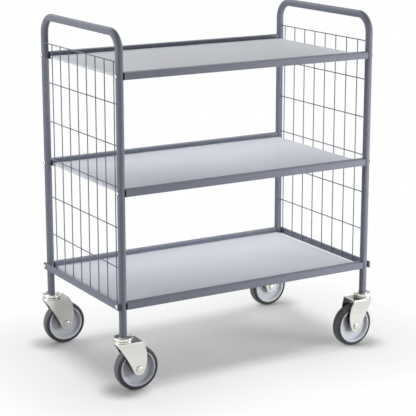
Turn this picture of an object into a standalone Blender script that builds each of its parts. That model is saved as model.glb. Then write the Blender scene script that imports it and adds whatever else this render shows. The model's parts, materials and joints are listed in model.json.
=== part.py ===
# Office shelf trolley: two bent tube end frames with welded wire mesh, three shelves carried by
# box rails, a flat end bar low on each end, and four swivel castors.
# Metres, +Z up. The origin is on the floor under the middle; X is the long way, -Y is the front.

import math

import bmesh
import bpy
from mathutils import Matrix, Vector

# General
GAP = 0.0003                     # clearance between pieces that touch
OVERRUN = 0.004                  # how far a cutter runs past what it cuts

# Overall
FRAME_SPACING = 0.802            # between tube centres along X
FRAME_WIDTH = 0.4615             # between tube centres along Y
LEG_LENGTH = 0.0868              # lower end of the tubes to the middle of the lowest rail
SHELF_SPACING = 0.312
HANDLE_RISE = 0.1119             # middle of the highest rail to the centre of the top bar

# End frame tube
TUBE_DIAMETER = 0.0212
TUBE_WALL = 0.0015
TUBE_BEND_RADIUS = 0.050
TUBE_SIDES = 16
BORE_SIDES = 10
SADDLE_SIDES = 16                # hollows that clasp a tube
BEND_STEPS = 5

# Shelf rails
SHELF_LEVELS = ("bottom", "middle", "top")
RAIL_HEIGHT = 0.0192
RAIL_DEPTH = 0.0212
RAIL_OUTSET = 0.001              # the rail's middle, outward from the tube centre
RAIL_WALL = 0.0015
RAIL_CORNER = 0.0015
RAIL_END_CLASP = 0.0006          # how far the metal end of a rail reaches round the tube
LEDGE_LENGTH = 0.010
LEDGE_THICKNESS = 0.0012

# Shelf panels
PANEL_THICKNESS = 0.0070
PANEL_END_GAP = 0.0004           # between the tubes and the end of a panel
PANEL_EDGE = 0.0008

# Rail end plugs
PLUG_FLANGE = 0.0014
PLUG_LENGTH = 0.021

# Bolts
BOLT_DIAMETER = 0.006
BOLT_CLEARANCE = 0.0003
BOLT_HEAD_DIAMETER = 0.0110
BOLT_HEAD_HEIGHT = 0.0031
BOLT_HEAD_CROWN = 0.0020
BOLT_CROWN_SHARES = ((0.5, 1.0), (0.85, 0.5))   # of the head's radius and of the crown's height
BOLT_GRIP = 0.017                # how far a bolt reaches into its plug
BOLT_SIDES = 8

# End bars
BAR_HEIGHT = 0.0192
BAR_DEPTH = 0.0068
BAR_WALL = 0.0012
BAR_CORNER = 0.0012
BAR_OVERHANG = 0.0086            # past the tube centre at each end

# Wire mesh
WIRE_DIAMETER = 0.0030
WIRE_BITE = 0.0004               # depth of the weld where wires cross
WIRE_SIDES = 6
MESH_DROP = 0.0748               # centre of the top bar down to the highest level wire
MESH_ROW_PITCH = 0.1113
MESH_COLUMN_PITCH = 0.0542
MESH_EDGE = 0.01825              # least distance between an upright and the centre of a tube
MESH_INSET = 0.0034              # uprights, inward from the outer face of the tubes
MESH_FOOT_RISE = 0.002           # lower wire ends, above the bottom of the end bar

# Castors
WHEEL_DIAMETER = 0.125
TYRE_WIDTH = 0.031
TYRE_THICKNESS = 0.0108
TYRE_TREAD_WIDTH = 0.018
TYRE_SHOULDER = 0.0043
WHEEL_SIDES = 28
RIM_LIP_WIDTH = 0.0030
RIM_WIDTH = 0.030
RIM_SLOPE_WIDTH = 0.0069
RIM_DISC_THICKNESS = 0.0088
HUB_DIAMETER = 0.025
HUB_BORE_CLEARANCE = 0.0004
HUB_SIDE_GAP = 0.0005
CASTOR_TRAIL = 0.0376

# Castor axle
AXLE_DIAMETER = 0.0100
AXLE_HEAD_DIAMETER = 0.0162
AXLE_HEAD_HEIGHT = 0.0028
AXLE_HEAD_CROWN = 0.0016
AXLE_CROWN_SHARE = 0.6           # flat top of a head, of its radius
AXLE_SIDES = 10

# Castor fork
FORK_HEADROOM = 0.0110           # between the tyre and the king pin
FORK_SHEET = 0.0025
FORK_NOSE = 0.0278               # swivel axis to the front of the crown
FORK_STRAIGHT_FROM = 0.0210      # behind the swivel axis; the plan is curved before it
FORK_PLAN_POWER = 2.5            # of the superellipse that the plan follows there
FORK_CROWN_EDGE = 0.0020
FORK_SIDE_GAP = 0.0039           # between the tyre and the foot of a leg
FORK_KNEE_RISE = 0.0285          # above the axle
FORK_KNEE_FLARE = 0.0008         # how much wider a leg stands at the knee than at the foot
FORK_CROWN_FLARE = 0.0051        # and at the crown than at the knee
FORK_TIP_RADIUS = 0.0168
FORK_TIP_REACH = 25.0            # degrees below level where the tip meets the rear edge
FORK_LEAD_BOW = 0.0028           # how far the leading edge bows from straight
FORK_SKIRT = 0.0034              # height of the crown's edge at the front
FORK_TAIL_REACH = 0.0089         # axle back to the rear edge of the crown
FORK_BULGE_REACH = 0.0234        # axle back to the rearmost place of a leg
FORK_BULGE_RISE = 0.0260         # and that place above the axle
FORK_ARC_STEPS = 8

# Castor head
HEAD_SIDES = 16
HEAD_HEIGHT = 0.0122             # top of the fork to the lower end of the tube
HEAD_RADIUS = 0.0270
HEAD_LIP_RADIUS = 0.0245
HEAD_LIP_WIDTH = 0.0050
HEAD_LIP_HEIGHT = 0.0008         # above the lower end of the tube
HEAD_GROOVE_DEPTH = 0.0018
HEAD_DISH_DEPTH = 0.0018
HEAD_PAD_MARGIN = 0.0012         # wider than the tube that stands on it
HEAD_RUNNING_GAP = 0.0004        # between the head and the crown below it
HEAD_GROOVE_HEIGHT = 0.0042      # above the crown
HEAD_SKIRT_HEIGHT = 0.0026
STEM_CLEARANCE = 0.00035         # in the tube's bore
STEM_LENGTH = 0.040
KING_PIN_DIAMETER = 0.012
KING_PIN_CLEARANCE = 0.0004
KING_PIN_HEAD_DIAMETER = 0.020
KING_PIN_HEAD_HEIGHT = 0.0045

# How each castor stands, in degrees from its trail lying along X toward the middle
CASTOR_TURNS = {
    "front_left": -2.0,
    "back_left": -3.0,
    "front_right": 1.0,
    "back_right": 1.0,
}

# Colour, roughness and metallic of each material
FINISHES = {
    "grey_powder_coat": ((0.155, 0.162, 0.205), 0.45, 0.0),
    "shelf_laminate": ((0.58, 0.59, 0.62), 0.40, 0.0),
    "black_plastic": ((0.018, 0.018, 0.022), 0.50, 0.0),
    "zinc_steel": ((0.66, 0.65, 0.61), 0.32, 1.0),
    "grey_rubber": ((0.060, 0.062, 0.066), 0.80, 0.0),
    "rim_plastic": ((0.42, 0.45, 0.54), 0.35, 0.0),
}

# Worked-out sizes
TUBE_RADIUS = TUBE_DIAMETER / 2
BORE_RADIUS = TUBE_RADIUS - TUBE_WALL
HALF_SPACING = FRAME_SPACING / 2
HALF_WIDTH = FRAME_WIDTH / 2
WHEEL_RADIUS = WHEEL_DIAMETER / 2
RIM_RADIUS = WHEEL_RADIUS - TYRE_THICKNESS - GAP
BOLT_HOLE_RADIUS = BOLT_DIAMETER / 2 + BOLT_CLEARANCE
BAR_NEAR_FACE = TUBE_RADIUS + GAP
BAR_FAR_FACE = BAR_NEAR_FACE + BAR_DEPTH
FORK_TOP = WHEEL_DIAMETER + FORK_HEADROOM + KING_PIN_HEAD_HEIGHT + GAP + FORK_SHEET
TUBE_END_HEIGHT = FORK_TOP + HEAD_HEIGHT
RAIL_HEIGHTS = {name: TUBE_END_HEIGHT + LEG_LENGTH + step * SHELF_SPACING for step, name in enumerate(SHELF_LEVELS)}
LOWEST_RAIL_HEIGHT = min(RAIL_HEIGHTS.values())
HANDLE_HEIGHT = max(RAIL_HEIGHTS.values()) + HANDLE_RISE
MESH_TOP = HANDLE_HEIGHT - MESH_DROP
MESH_OFFSET = TUBE_RADIUS - MESH_INSET
RAIL_END_SETBACK = TUBE_RADIUS - RAIL_END_CLASP
FORK_FOOT_HALF_WIDTH = TYRE_WIDTH / 2 + FORK_SIDE_GAP + FORK_SHEET
FORK_KNEE_HALF_WIDTH = FORK_FOOT_HALF_WIDTH + FORK_KNEE_FLARE
FORK_CROWN_HALF_WIDTH = FORK_KNEE_HALF_WIDTH + FORK_CROWN_FLARE
FORK_KNEE_HEIGHT = WHEEL_RADIUS + FORK_KNEE_RISE
FORK_TAIL_TOP = CASTOR_TRAIL + FORK_TAIL_REACH
FORK_TAIL_BULGE = CASTOR_TRAIL + FORK_BULGE_REACH
LEDGE_TOP = LEDGE_THICKNESS - RAIL_HEIGHT / 2
SIDES = {"left": -1, "right": 1}
ROWS = {"front": -1, "back": 1}


def clear_scene():
    for item in list(bpy.data.objects):
        bpy.data.objects.remove(item, do_unlink=True)


def make_materials():
    made = {}
    for name, (colour, roughness, metallic) in FINISHES.items():
        finish = bpy.data.materials.new(name)
        finish.use_nodes = True
        shader = finish.node_tree.nodes["Principled BSDF"]
        shader.inputs["Base Color"].default_value = (*colour, 1.0)
        shader.inputs["Roughness"].default_value = roughness
        shader.inputs["Metallic"].default_value = metallic
        finish.diffuse_color = (*colour, 1.0)
        made[name] = finish
    return made


def mesh_from(points, faces):
    """A mesh with its faces turned outward."""
    shell = bmesh.new()
    corners = [shell.verts.new(point) for point in points]
    for face in faces:
        shell.faces.new([corners[index] for index in face])
    bmesh.ops.recalc_face_normals(shell, faces=shell.faces)
    mesh = bpy.data.meshes.new("shape")
    shell.to_mesh(mesh)
    shell.free()
    return mesh


def joined(meshes):
    """Several meshes as one, still separate shells."""
    shell = bmesh.new()
    for mesh in meshes:
        shell.from_mesh(mesh)
    whole = bpy.data.meshes.new("joined")
    shell.to_mesh(whole)
    shell.free()
    return whole


def rings_mesh(rings, closed):
    """Rings of equal count, skinned in order; open runs get flat ends, closed runs meet themselves."""
    count = len(rings[0])
    points = [point for ring in rings for point in ring]
    faces = []
    spans = len(rings) if closed else len(rings) - 1
    for row in range(spans):
        here = row * count
        there = (row + 1) % len(rings) * count
        for step in range(count):
            onward = (step + 1) % count
            faces.append((here + step, here + onward, there + onward, there + step))
    if not closed:
        faces.append(tuple(reversed(range(count))))
        faces.append(tuple(range(len(points) - count, len(points))))
    return mesh_from(points, faces)


def turned(profile, sides, closed=False):
    """A profile of (radius, height) turned about Z. A closed profile has a bore."""
    rings = []
    for radius, height in profile:
        ring = []
        for step in range(sides):
            angle = math.tau * step / sides
            ring.append((radius * math.cos(angle), radius * math.sin(angle), height))
        rings.append(ring)
    return rings_mesh(rings, closed)


def prism(outline, start, end, frame=Matrix.Identity(4)):
    """An outline in X and Y, raised from start to end along Z, then placed by frame."""
    rings = [[frame @ Vector((x, y, level)) for x, y in outline] for level in (start, end)]
    return rings_mesh(rings, closed=False)


def circle(radius, sides, turn=0.0):
    angles = [math.tau * step / sides + turn for step in range(sides)]
    return [(radius * math.cos(angle), radius * math.sin(angle)) for angle in angles]


def moved(mesh, frame):
    mesh.transform(frame)
    return mesh


def temporary(mesh):
    item = bpy.data.objects.new("temporary", mesh)
    item.hide_render = True
    item.display_type = "WIRE"
    bpy.context.scene.collection.objects.link(item)
    return item


def combined(mesh, steps):
    """The mesh after Boolean steps, each an operation and the mesh that it uses."""
    item = temporary(mesh)
    helpers = []
    for operation, other in steps:
        helper = temporary(other)
        helpers.append(helper)
        boolean = item.modifiers.new(operation.lower(), "BOOLEAN")
        boolean.operation = operation
        boolean.solver = "EXACT"
        boolean.object = helper
    bpy.context.view_layer.update()
    evaluated = item.evaluated_get(bpy.context.evaluated_depsgraph_get())
    result = bpy.data.meshes.new_from_object(evaluated)
    for used in [item] + helpers:
        bpy.data.objects.remove(used, do_unlink=True)
    return result


def place(name, mesh, finish, location=(0, 0, 0), turn=0.0, parent=None, smooth_angle=32.0):
    """A named piece with its finish. Pieces that share a mesh keep one copy of its shading."""
    if not mesh.materials:
        mesh.materials.append(finish)
        mesh.shade_smooth()
        mesh.set_sharp_from_angle(angle=math.radians(smooth_angle))
    item = bpy.data.objects.new(name, mesh)
    item.location = location
    item.rotation_euler = (0, 0, turn)
    item.parent = parent
    bpy.context.scene.collection.objects.link(item)
    return item


def pivot(name, location, turn=0.0, parent=None):
    item = bpy.data.objects.new(name, None)
    item.empty_display_size = TUBE_DIAMETER
    item.location = location
    item.rotation_euler = (0, 0, turn)
    item.parent = parent
    bpy.context.scene.collection.objects.link(item)
    return item


ALONG_X = Matrix.Rotation(math.radians(90), 4, "Y")
ALONG_Y = Matrix.Rotation(math.radians(-90), 4, "X")
PROFILE_ALONG_X = Matrix(((0, 0, 1, 0), (1, 0, 0, 0), (0, 1, 0, 0), (0, 0, 0, 1)))
PROFILE_ALONG_Y = Matrix(((1, 0, 0, 0), (0, 0, -1, 0), (0, 1, 0, 0), (0, 0, 0, 1)))


# End frames

def frame_path():
    """The centre line of one end frame in Y and Z with its direction, from foot to foot."""
    bend_y = HALF_WIDTH - TUBE_BEND_RADIUS
    bend_z = HANDLE_HEIGHT - TUBE_BEND_RADIUS
    path = [(-HALF_WIDTH, TUBE_END_HEIGHT, 0.0)]
    for step in range(BEND_STEPS + 1):
        angle = math.radians(90) * step / BEND_STEPS
        y = -bend_y - TUBE_BEND_RADIUS * math.cos(angle)
        path.append((y, bend_z + TUBE_BEND_RADIUS * math.sin(angle), angle))
    mirrored = [(-y, z, math.pi - angle) for y, z, angle in reversed(path)]
    return path + mirrored


def swept(path, radius, sides):
    rings = []
    for y, z, angle in path:
        ring = []
        for step in range(sides):
            around = math.tau * step / sides
            across = radius * math.sin(around)
            spot_y = y - across * math.cos(angle)
            spot_z = z + across * math.sin(angle)
            ring.append((radius * math.cos(around), spot_y, spot_z))
        rings.append(ring)
    return rings_mesh(rings, closed=False)


def bolt_holes(side):
    """Rods where the bolts of one end pass through tube and bar."""
    reach = BAR_FAR_FACE + OVERRUN
    rods = []
    for height in RAIL_HEIGHTS.values():
        for row in ROWS.values():
            rod = prism(circle(BOLT_HOLE_RADIUS, BOLT_SIDES), -reach, reach, ALONG_X)
            rods.append(moved(rod, Matrix.Translation((side * HALF_SPACING, row * HALF_WIDTH, height))))
    return joined(rods)


def end_frame_mesh(side):
    path = frame_path()
    below = [(y, z - OVERRUN, angle) for y, z, angle in (path[0], path[-1])]
    bore_path = below[:1] + path[1:-1] + below[1:]
    shift = Matrix.Translation((side * HALF_SPACING, 0, 0))
    tube = moved(swept(path, TUBE_RADIUS, TUBE_SIDES), shift)
    bore = moved(swept(bore_path, BORE_RADIUS, BORE_SIDES), shift)
    return combined(tube, [("DIFFERENCE", bore), ("DIFFERENCE", bolt_holes(side))])


# Wire mesh

def wire_mesh():
    """The left mesh about X = 0 at the tube centres: uprights outside, level wires inside, welded
    where they cross. The right one is the same piece turned round."""
    radius = WIRE_DIAMETER / 2
    flat = radius * math.cos(math.pi / WIRE_SIDES)
    outline = circle(radius, WIRE_SIDES, math.pi / WIRE_SIDES)
    upright_x = -MESH_OFFSET
    level_x = upright_x + 2 * flat - WIRE_BITE
    reach = HALF_WIDTH - math.sqrt((TUBE_RADIUS + GAP) ** 2 - (abs(level_x) - flat) ** 2)
    level_wires = []
    rows = int((MESH_TOP - LOWEST_RAIL_HEIGHT - RAIL_HEIGHT / 2) / MESH_ROW_PITCH) + 1
    for row in range(rows):
        wire = prism(outline, -reach, reach, ALONG_Y)
        height = MESH_TOP - row * MESH_ROW_PITCH
        level_wires.append(moved(wire, Matrix.Translation((level_x, 0, height))))
    foot = LOWEST_RAIL_HEIGHT - BAR_HEIGHT / 2 + MESH_FOOT_RISE
    upright_wires = []
    columns = int((FRAME_WIDTH - 2 * MESH_EDGE) / MESH_COLUMN_PITCH) + 1
    for column in range(columns):
        y = MESH_EDGE - HALF_WIDTH + column * MESH_COLUMN_PITCH
        wire = prism(outline, foot, MESH_TOP + radius)
        upright_wires.append(moved(wire, Matrix.Translation((upright_x, y, 0))))
    return combined(joined(level_wires), [("UNION", joined(upright_wires))])


# End bars

def chamfered_box(width, height, corner):
    """A rectangle in X and Y with cut corners."""
    across = width / 2
    up = height / 2
    return [
        (-across + corner, -up), (across - corner, -up), (across, -up + corner), (across, up - corner),
        (across - corner, up), (-across + corner, up), (-across, up - corner), (-across, -up + corner),
    ]


def end_bar_mesh(side):
    """A flat tube with open ends, outside the frame tubes at the lowest shelf."""
    reach = HALF_WIDTH + BAR_OVERHANG
    middle = side * (HALF_SPACING + BAR_NEAR_FACE + BAR_DEPTH / 2)
    outer = prism(chamfered_box(BAR_DEPTH, BAR_HEIGHT, BAR_CORNER), -reach, reach, PROFILE_ALONG_Y)
    inside = chamfered_box(BAR_DEPTH - 2 * BAR_WALL, BAR_HEIGHT - 2 * BAR_WALL, BAR_CORNER / 2)
    cut_reach = reach + OVERRUN
    inner = prism(inside, -cut_reach, cut_reach, PROFILE_ALONG_Y)
    shift = Matrix.Translation((middle, 0, LOWEST_RAIL_HEIGHT))
    outer = moved(outer, shift)
    inner = moved(inner, shift)
    return combined(outer, [("DIFFERENCE", inner), ("DIFFERENCE", bolt_holes(side))])


# Shelves

def rail_outline():
    """Depth toward the shelf and height: a box with a ledge low on the shelf side."""
    deep = RAIL_DEPTH / 2
    up = RAIL_HEIGHT / 2
    ledge_end = deep + LEDGE_LENGTH
    return [
        (-deep + RAIL_CORNER, -up), (ledge_end, -up), (ledge_end, LEDGE_TOP), (deep, LEDGE_TOP),
        (deep, up - RAIL_CORNER), (deep - RAIL_CORNER, up), (-deep + RAIL_CORNER, up),
        (-deep, up - RAIL_CORNER), (-deep, -up + RAIL_CORNER),
    ]


def saddle(centre_x):
    """An upright cutter that leaves room for a tube."""
    half_height = RAIL_HEIGHT / 2 + OVERRUN
    cutter = prism(circle(TUBE_RADIUS + GAP, SADDLE_SIDES), -half_height, half_height)
    return moved(cutter, Matrix.Translation((centre_x, 0, 0)))


def rail_mesh():
    """One rail for the front, its ledge toward +Y; a back rail is the same piece turned round."""
    half_length = HALF_SPACING - RAIL_END_SETBACK
    outward = Matrix.Translation((0, -RAIL_OUTSET, 0))
    outer = prism(rail_outline(), -half_length, half_length, outward @ PROFILE_ALONG_X)
    inside = chamfered_box(RAIL_DEPTH - 2 * RAIL_WALL, RAIL_HEIGHT - 2 * RAIL_WALL, RAIL_CORNER / 2)
    cut_length = half_length + OVERRUN
    inner = prism(inside, -cut_length, cut_length, outward @ PROFILE_ALONG_X)
    saddles = joined([saddle(-HALF_SPACING), saddle(HALF_SPACING)])
    return combined(outer, [("DIFFERENCE", inner), ("DIFFERENCE", saddles)])


def plug_mesh(outward):
    """The plug of a left rail end, its origin on the tube centre and its core toward +X."""
    flange_end = RAIL_END_SETBACK - GAP
    flange_start = flange_end - PLUG_FLANGE
    core_end = flange_start + PLUG_LENGTH
    core_depth = RAIL_DEPTH - 2 * RAIL_WALL - 2 * GAP
    core_height = RAIL_HEIGHT - 2 * RAIL_WALL - 2 * GAP
    lie = Matrix.Translation((0, outward * RAIL_OUTSET, 0)) @ PROFILE_ALONG_X
    flange = prism(chamfered_box(RAIL_DEPTH, RAIL_HEIGHT, RAIL_CORNER), flange_start, flange_end, lie)
    core_outline = chamfered_box(core_depth, core_height, RAIL_CORNER / 2)
    core = prism(core_outline, flange_end - PLUG_FLANGE / 2, core_end, lie)
    bore = prism(circle(BOLT_HOLE_RADIUS, BOLT_SIDES), 0, core_end + OVERRUN, ALONG_X)
    return combined(flange, [("UNION", core), ("DIFFERENCE", saddle(0)), ("DIFFERENCE", bore)])


def panel_mesh():
    half_length = HALF_SPACING - TUBE_RADIUS - PANEL_END_GAP
    half_width = HALF_WIDTH + RAIL_OUTSET - RAIL_DEPTH / 2 - GAP
    outline = chamfered_box(2 * half_length, 2 * half_width, PANEL_EDGE)
    return prism(outline, 0, PANEL_THICKNESS)


# Bolts

def bolt_mesh(seat):
    """A button head bolt along +X, its origin on the tube centre; seat is how far out its head rests."""
    flat = BOLT_HEAD_HEIGHT - BOLT_HEAD_CROWN
    head_radius = BOLT_HEAD_DIAMETER / 2
    under_head = -seat - GAP
    tip = RAIL_END_SETBACK + BOLT_GRIP
    rim = under_head - flat
    profile = [(head_radius * out, rim - BOLT_HEAD_CROWN * up) for out, up in BOLT_CROWN_SHARES]
    profile += [
        (head_radius, rim),
        (head_radius, under_head),
        (BOLT_DIAMETER / 2, under_head),
        (BOLT_DIAMETER / 2, tip),
    ]
    return moved(turned(profile, BOLT_SIDES), ALONG_X)


# Castors

def castor_head_mesh():
    """The dished cup under the tube, its stem up the tube and its king pin down through the fork."""
    pad = TUBE_END_HEIGHT - GAP
    lip_top = TUBE_END_HEIGHT + HEAD_LIP_HEIGHT
    floor = pad - HEAD_DISH_DEPTH
    base = FORK_TOP + HEAD_RUNNING_GAP
    groove = FORK_TOP + HEAD_GROOVE_HEIGHT
    lip_outer = HEAD_LIP_RADIUS + HEAD_LIP_WIDTH / 2
    lip_inner = HEAD_LIP_RADIUS - HEAD_LIP_WIDTH / 2
    lip_round = HEAD_LIP_WIDTH / 2
    stem_radius = BORE_RADIUS * math.cos(math.pi / BORE_SIDES) - STEM_CLEARANCE
    pad_radius = TUBE_RADIUS + HEAD_PAD_MARGIN
    pin_radius = KING_PIN_DIAMETER / 2
    pin_head_radius = KING_PIN_HEAD_DIAMETER / 2
    pin_head_top = FORK_TOP - FORK_SHEET - GAP
    pin_head_base = pin_head_top - KING_PIN_HEAD_HEIGHT
    profile = [
        (stem_radius, TUBE_END_HEIGHT + STEM_LENGTH),
        (stem_radius, pad),
        (pad_radius, pad),
        (pad_radius + HEAD_DISH_DEPTH / 2, floor),
        (lip_inner - HEAD_DISH_DEPTH, floor),
        (lip_inner, lip_top - lip_round),
        (HEAD_LIP_RADIUS, lip_top),
        (lip_outer, lip_top - lip_round),
        (lip_outer, groove + lip_round / 2),
        (lip_outer - HEAD_GROOVE_DEPTH, groove),
        (HEAD_RADIUS, base + HEAD_SKIRT_HEIGHT),
        (HEAD_RADIUS, base),
        (pin_radius, base),
        (pin_radius, pin_head_top),
        (pin_head_radius, pin_head_top),
        (pin_head_radius, (pin_head_top + pin_head_base) / 2),
        (pin_head_radius / 2, pin_head_base),
    ]
    return turned(profile, HEAD_SIDES)


def fork_half_width(height):
    """Outer half width of the fork: widest at the crown, drawn in at the knee, nearly upright below."""
    shoulder = FORK_TOP - FORK_CROWN_EDGE
    if height >= shoulder:
        return FORK_CROWN_HALF_WIDTH
    if height >= FORK_KNEE_HEIGHT:
        share = (height - FORK_KNEE_HEIGHT) / (shoulder - FORK_KNEE_HEIGHT)
        return FORK_KNEE_HALF_WIDTH + share * share * FORK_CROWN_FLARE
    share = height / FORK_KNEE_HEIGHT
    return FORK_FOOT_HALF_WIDTH + share * FORK_KNEE_FLARE


def fork_section(height, inset, tail):
    """Half a superellipse at the front and straight along both sides, seen from above."""
    reach = FORK_STRAIGHT_FROM + FORK_NOSE - inset
    half_width = fork_half_width(height) - inset
    power = 2 / FORK_PLAN_POWER
    ring = [(tail, half_width, height)]
    for step in range(FORK_ARC_STEPS + 1):
        angle = math.pi * step / FORK_ARC_STEPS
        forward = math.sin(angle) ** power
        across = math.copysign(abs(math.cos(angle)) ** power, math.cos(angle))
        ring.append((FORK_STRAIGHT_FROM - reach * forward, half_width * across, height))
    ring.append((tail, -half_width, height))
    return ring


def fork_shell():
    """Outer skin less inner skin, both running past the outline that trims them."""
    tail = FORK_TAIL_BULGE + OVERRUN
    shoulder = FORK_TOP - FORK_CROWN_EDGE
    between = (shoulder + FORK_KNEE_HEIGHT) / 2
    levels = (shoulder, between, FORK_KNEE_HEIGHT, 0.0)
    outer = [fork_section(FORK_TOP, FORK_CROWN_EDGE, tail)]
    outer += [fork_section(level, 0.0, tail) for level in levels]
    ceiling = FORK_TOP - FORK_SHEET
    inner = [fork_section(ceiling, FORK_SHEET + FORK_CROWN_EDGE / 2, tail + OVERRUN)]
    inner += [fork_section(level, FORK_SHEET, tail + OVERRUN) for level in levels[1:]]
    inner.append([(x, y, -OVERRUN) for x, y, z in fork_section(0.0, FORK_SHEET, tail + OVERRUN)])
    return rings_mesh(outer, closed=False), rings_mesh(inner, closed=False)


def arc_through(first, middle, last, steps):
    """Points on the circle through three points, from first to last."""
    ax, ay = first
    bx, by = middle
    cx, cy = last
    twice_area = 2 * (ax * (by - cy) + bx * (cy - ay) + cx * (ay - by))
    a2, b2, c2 = ax * ax + ay * ay, bx * bx + by * by, cx * cx + cy * cy
    centre_x = (a2 * (by - cy) + b2 * (cy - ay) + c2 * (ay - by)) / twice_area
    centre_y = (a2 * (cx - bx) + b2 * (ax - cx) + c2 * (bx - ax)) / twice_area
    radius = math.hypot(ax - centre_x, ay - centre_y)
    start = math.atan2(ay - centre_y, ax - centre_x)
    sweep = math.atan2(cy - centre_y, cx - centre_x) - start
    points = []
    for step in range(steps + 1):
        angle = start + sweep * step / steps
        points.append((centre_x + radius * math.cos(angle), centre_y + radius * math.sin(angle)))
    return points


def fork_side_outline():
    """The fork from the side: straight leading edge, round tip about the axle, bulged rear edge."""
    nose = (-FORK_NOSE - GAP, FORK_TOP - FORK_SKIRT)
    axle = (CASTOR_TRAIL, WHEEL_RADIUS)

    def on_tip(angle):
        return axle[0] + FORK_TIP_RADIUS * math.cos(angle), axle[1] + FORK_TIP_RADIUS * math.sin(angle)

    away = math.hypot(nose[0] - axle[0], nose[1] - axle[1])
    to_nose = math.atan2(nose[1] - axle[1], nose[0] - axle[0])
    tangent = to_nose + math.acos(FORK_TIP_RADIUS / away)
    tip_end = math.radians(360 - FORK_TIP_REACH)
    steps = FORK_ARC_STEPS // 2
    start = on_tip(tangent)
    middle = ((nose[0] + start[0]) / 2, (nose[1] + start[1]) / 2)
    bow = (middle[0] - FORK_LEAD_BOW * math.cos(tangent), middle[1] - FORK_LEAD_BOW * math.sin(tangent))
    outline = arc_through(nose, bow, start, steps)
    for step in range(1, steps + 1):
        outline.append(on_tip(tangent + (tip_end - tangent) * step / steps))
    bulge = (FORK_TAIL_BULGE, WHEEL_RADIUS + FORK_BULGE_RISE)
    corner = (FORK_TAIL_TOP, FORK_TOP)
    outline += arc_through(outline[-1], bulge, corner, FORK_ARC_STEPS // 2 + 1)[1:]
    top = FORK_TOP + OVERRUN
    outline += [(FORK_TAIL_TOP, top), (nose[0] - OVERRUN, top), (nose[0] - OVERRUN, nose[1])]
    return outline


def fork_mesh():
    """A pressed fork, its origin on the floor under the swivel axis and its trail toward +X."""
    outer, inner = fork_shell()
    reach = FORK_CROWN_HALF_WIDTH + OVERRUN
    side_view = prism(fork_side_outline(), -reach, reach, PROFILE_ALONG_Y)
    pin_radius = KING_PIN_DIAMETER / 2 + KING_PIN_CLEARANCE
    pin_hole = prism(circle(pin_radius, HEAD_SIDES), FORK_TOP - FORK_SHEET - OVERRUN, FORK_TOP + OVERRUN)
    axle_hole = prism(circle(AXLE_DIAMETER / 2 + GAP, AXLE_SIDES), -reach, reach, ALONG_Y)
    moved(axle_hole, Matrix.Translation((CASTOR_TRAIL, 0, WHEEL_RADIUS)))
    return combined(outer, [
        ("DIFFERENCE", inner), ("INTERSECT", side_view),
        ("DIFFERENCE", pin_hole), ("DIFFERENCE", axle_hole),
    ])


def axle_mesh():
    """A bolt across the fork with a low dome at each end, turned about Y."""
    seat = fork_half_width(WHEEL_RADIUS + AXLE_HEAD_DIAMETER / 2) + GAP
    radius = AXLE_DIAMETER / 2
    head = AXLE_HEAD_DIAMETER / 2
    flat = AXLE_HEAD_HEIGHT - AXLE_HEAD_CROWN
    crown = (head * AXLE_CROWN_SHARE, seat + AXLE_HEAD_HEIGHT)
    half = [(radius, seat), (head, seat), (head, seat + flat), crown]
    profile = [(r, -y) for r, y in reversed(half)] + half
    return moved(turned(profile, AXLE_SIDES), ALONG_Y)


def rim_mesh():
    """Hub, flat disc, sloping dish and lip, turned about Y."""
    bore = AXLE_DIAMETER / 2 + HUB_BORE_CLEARANCE
    hub = HUB_DIAMETER / 2
    hub_half = fork_half_width(WHEEL_RADIUS) - FORK_SHEET - HUB_SIDE_GAP
    disc = RIM_DISC_THICKNESS / 2
    lip = RIM_WIDTH / 2
    slope_end = RIM_RADIUS - RIM_LIP_WIDTH
    half = [
        (bore, hub_half), (hub, hub_half), (hub, disc), (slope_end - RIM_SLOPE_WIDTH, disc),
        (slope_end, lip), (RIM_RADIUS, lip),
    ]
    profile = half + [(r, -y) for r, y in reversed(half)]
    return moved(turned(profile, WHEEL_SIDES, closed=True), ALONG_Y)


def tyre_mesh():
    """A ring with round shoulders, turned about Y."""
    inner = WHEEL_RADIUS - TYRE_THICKNESS
    wide = TYRE_WIDTH / 2
    tread = TYRE_TREAD_WIDTH / 2
    half = [
        (inner, wide), (WHEEL_RADIUS - TYRE_SHOULDER, wide),
        (WHEEL_RADIUS - TYRE_SHOULDER / 4, (wide + tread) / 2), (WHEEL_RADIUS, tread),
    ]
    profile = half + [(r, -y) for r, y in reversed(half)]
    return moved(turned(profile, WHEEL_SIDES, closed=True), ALONG_Y)


# Assembly

def build_ends(finishes):
    coat = finishes["grey_powder_coat"]
    wires = wire_mesh()
    for name, side in SIDES.items():
        turn = 0.0 if side < 0 else math.pi
        place(f"end_frame_{name}", end_frame_mesh(side), coat)
        place(f"mesh_{name}", wires, coat, (side * HALF_SPACING, 0, 0), turn, smooth_angle=75.0)
        place(f"end_bar_{name}", end_bar_mesh(side), coat)


def build_shelves(finishes):
    rail = rail_mesh()
    panel = panel_mesh()
    for level, height in RAIL_HEIGHTS.items():
        place(f"panel_{level}", panel, finishes["shelf_laminate"], (0, 0, height + LEDGE_TOP + GAP))
        for row_name, row in ROWS.items():
            turn = 0.0 if row < 0 else math.pi
            spot = (0, row * HALF_WIDTH, height)
            place(f"rail_{level}_{row_name}", rail, finishes["grey_powder_coat"], spot, turn)


def build_fastenings(finishes):
    plugs = {-1: plug_mesh(-1), 1: plug_mesh(1)}
    bolt = bolt_mesh(TUBE_RADIUS)
    long_bolt = bolt_mesh(BAR_FAR_FACE)
    for level, height in RAIL_HEIGHTS.items():
        used = long_bolt if height == LOWEST_RAIL_HEIGHT else bolt
        for row_name, row in ROWS.items():
            for side_name, side in SIDES.items():
                spot = (side * HALF_SPACING, row * HALF_WIDTH, height)
                turn = 0.0 if side < 0 else math.pi
                plug = plugs[-row * side]
                place(f"plug_{level}_{row_name}_{side_name}", plug, finishes["black_plastic"], spot, turn)
                place(f"bolt_{level}_{row_name}_{side_name}", used, finishes["zinc_steel"], spot, turn)


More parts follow.
